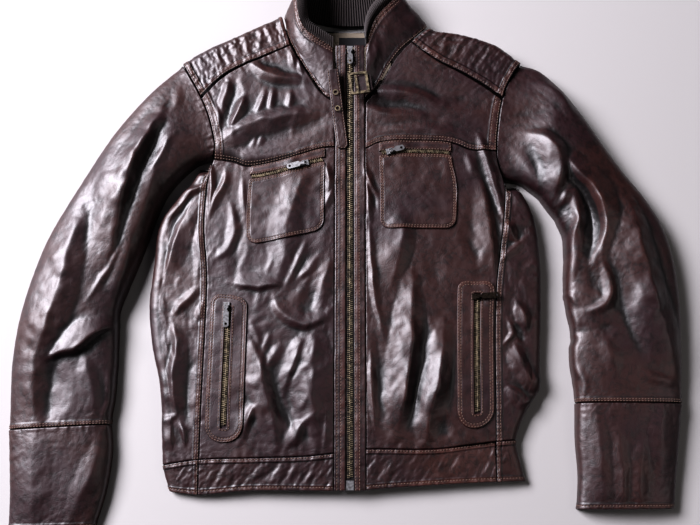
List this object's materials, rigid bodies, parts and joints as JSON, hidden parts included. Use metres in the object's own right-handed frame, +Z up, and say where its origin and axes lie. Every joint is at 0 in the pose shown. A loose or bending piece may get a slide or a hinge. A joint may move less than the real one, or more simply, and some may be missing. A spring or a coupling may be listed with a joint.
{
  "type": "leather jacket laid flat",
  "caption": "Men's leather biker jacket laid flat on its back with the front up, zipped, with a ribbed stand collar, a throat strap and zipped pockets.",
  "frame": {"origin": "middle of the footprint, on the surface that the jacket lies on", "axes": "+X from the wearer's right sleeve to the left one, +Y from the hem to the collar, +Z up from the surface, out of the front"},
  "size_m": [0.8872, 0.7734, 0.0694],
  "materials": {
    "leather": "dark brown glazed leather with fine grain, creases and reddish wear on the ridges",
    "leather_underside": "the same dark brown leather, where it lies flat",
    "rib_knit": "dark grey-brown rib knit",
    "lining": "beige woven lining",
    "label": "plain black woven tape, bare",
    "antique_brass": "aged brass",
    "nickel": "worn nickel",
    "dark_bronze": "dark bronze"
  },
  "bodies": {
    "jacket": {"front_left": "leather", "chest_pocket_left": "leather", "chest_welt_left": "leather", "hand_welt_left": "leather", "chest_zip_left": "antique_brass", "hand_zip_left": "antique_brass", "front_right": "leather", "chest_pocket_right": "leather", "chest_welt_right": "leather", "hand_welt_right": "leather", "chest_zip_right": "antique_brass", "hand_zip_right": "antique_brass", "chest_left": "leather", "chest_right": "leather", "side_left": "leather", "side_right": "leather", "shoulder_patch_left": "leather", "shoulder_patch_right": "leather", "sleeve_top_left": "leather", "sleeve_under_left": "leather_underside", "cuff_left": "leather", "sleeve_top_right": "leather", "sleeve_under_right": "leather_underside", "cuff_right": "leather", "hem_front_left": "leather", "hem_side_left": "leather", "hem_front_right": "leather", "hem_side_right": "leather", "hem_back": "leather_underside", "back_panel": "leather_underside", "lining_back_neck": "lining", "neck_label": "label", "placket_left": "leather", "placket_right": "leather", "zip_chain": "antique_brass", "zip_box": "nickel", "collar_leather": "leather", "collar_knit": "rib_knit", "zip_slider": "nickel", "chest_zip_left_slider": "nickel", "chest_zip_right_slider": "nickel", "hand_zip_left_slider": "nickel", "hand_zip_right_slider": "dark_bronze", "throat_strap": "leather", "strap_eyelet_1": "antique_brass", "strap_eyelet_2": "antique_brass", "buckle_frame": "antique_brass", "buckle_prong": "antique_brass", "buckle_tab": "leather"},
    "main_pull": {"zip_pull": "nickel"},
    "chest_left_pull": {"chest_zip_left_pull": "nickel"},
    "chest_right_pull": {"chest_zip_right_pull": "nickel"},
    "hand_left_pull": {"hand_zip_left_pull": "nickel"},
    "hand_right_pull": {"hand_zip_right_pull": "dark_bronze"}
  },
  "joints": [
    {"name": "main_pull_hinge", "type": "hinge", "parent": "jacket", "child": "main_pull", "pos_m": [0.00151, 0.25632, 0.05385], "axis": [-1, 0, 0], "range_deg": [0, 150]},
    {"name": "chest_left_pull_hinge", "type": "hinge", "parent": "jacket", "child": "chest_left_pull", "pos_m": [-0.06146, 0.09658, 0.03836], "axis": [-0.2419, 0.9703, 0], "range_deg": [0, 150]},
    {"name": "chest_right_pull_hinge", "type": "hinge", "parent": "jacket", "child": "chest_right_pull", "pos_m": [0.05747, 0.1141, 0.03899], "axis": [0.2756, -0.9613, 0], "range_deg": [0, 150]},
    {"name": "hand_left_pull_hinge", "type": "hinge", "parent": "jacket", "child": "hand_left_pull", "pos_m": [-0.16199, -0.10168, 0.03138], "axis": [-1, 0, 0], "range_deg": [0, 150]},
    {"name": "hand_right_pull_hinge", "type": "hinge", "parent": "jacket", "child": "hand_right_pull", "pos_m": [0.17001, -0.08761, 0.03154], "axis": [0.0698, -0.9976, 0], "range_deg": [0, 150]}
  ]
}
